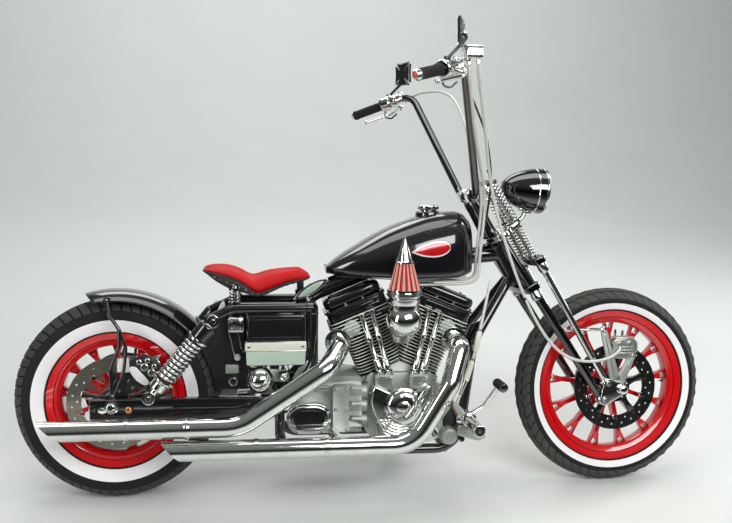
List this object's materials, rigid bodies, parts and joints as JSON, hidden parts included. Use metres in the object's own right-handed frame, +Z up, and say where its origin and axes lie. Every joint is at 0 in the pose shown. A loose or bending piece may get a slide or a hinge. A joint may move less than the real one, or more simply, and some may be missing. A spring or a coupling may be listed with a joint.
{
  "type": "chopper motorcycle",
  "caption": "Long low chopper motorcycle on its side stand, with springer fork, V-twin engine, high handlebar, cast spoked wheels and forward foot controls.",
  "frame": {"origin": "centre of the base of the whole bounding box, on the ground, with the motorcycle leaned 10 degrees onto its side stand", "axes": "+X forward along the wheelbase, +Y to the rider's left, +Z up"},
  "size_m": [2.3012, 1.0582, 1.5387],
  "materials": {
    "black_paint": "gloss",
    "red_paint": "gloss",
    "chrome": "polished",
    "black_chrome": "polished",
    "cast_aluminium": "satin cast",
    "black_fins": "satin with bright edges",
    "steel": "brushed",
    "red_leather": "smooth",
    "black_leather": "smooth",
    "rubber": "matte",
    "tyre": "matte with white sidewalls",
    "lamp_glass": "clear",
    "braided_hose": "braided"
  },
  "bodies": {
    "frame": {"frame": "black_paint", "swingarm": "black_paint", "rear_shocks": "black_paint", "shock_springs": "chrome", "rear_fender": "black_paint", "rear_axle": "chrome", "rear_caliper": "chrome", "seat_cushion": "red_leather", "seat_pan": "black_leather", "seat_springs": "chrome", "fuel_tank": "black_paint", "fuel_cap": "chrome", "crankcase": "cast_aluminium", "cylinders": "black_fins", "cylinder_heads": "black_fins", "rocker_boxes": "black_paint", "pushrod_tubes": "chrome", "cam_cover": "chrome", "gearbox": "cast_aluminium", "release_cover": "chrome", "starter": "chrome", "primary_cover": "chrome", "front_pulley": "cast_aluminium", "drive_belt": "rubber", "intake": "chrome", "air_cleaner": "chrome", "upper_exhaust": "chrome", "lower_exhaust": "chrome", "battery_box": "black_paint", "relay_box": "chrome", "side_leaf": "chrome", "right_foot_control": "cast_aluminium", "left_foot_control": "cast_aluminium", "clutch_cable": "rubber", "frame_lines": "braided_hose"},
    "fork": {"rigid_fork": "black_chrome", "top_clamp": "chrome", "front_fork_legs": "chrome", "fork_springs": "chrome", "fork_rockers": "chrome", "front_axle": "chrome", "front_caliper": "cast_aluminium", "headlight": "black_chrome", "headlight_lens": "lamp_glass", "handlebar": "black_chrome", "grips": "rubber", "hand_controls": "chrome", "mirrors": "chrome", "fork_lines": "braided_hose"},
    "front_wheel": {"front_wheel": "red_paint", "front_tyre": "tyre", "front_disc": "steel"},
    "rear_wheel": {"rear_wheel": "red_paint", "rear_tyre": "tyre", "rear_disc": "steel", "rear_pulley": "cast_aluminium"},
    "side_stand": {"side_stand": "chrome"}
  },
  "joints": [
    {"name": "steering", "type": "hinge", "parent": "frame", "child": "fork", "pos_m": [0.72525, -0.16778, 0.27286], "axis": [-0.5015, 0.1502, 0.852], "range_deg": [-38, 30]},
    {"name": "front_wheel_spin", "type": "hinge", "parent": "fork", "child": "front_wheel", "pos_m": [0.82019, -0.15067, 0.32572], "axis": [-0.0603, 0.9763, -0.2077], "continuous": true},
    {"name": "rear_wheel_spin", "type": "hinge", "parent": "frame", "child": "rear_wheel", "pos_m": [-0.82758, -0.15959, 0.31931], "axis": [0, 0.9848, -0.1736], "continuous": true},
    {"name": "stand_fold", "type": "hinge", "parent": "frame", "child": "side_stand", "pos_m": [0.05242, -0.02024, 0.11907], "axis": [0.1463, 0.6078, 0.7805], "range_deg": [0, 100]}
  ]
}
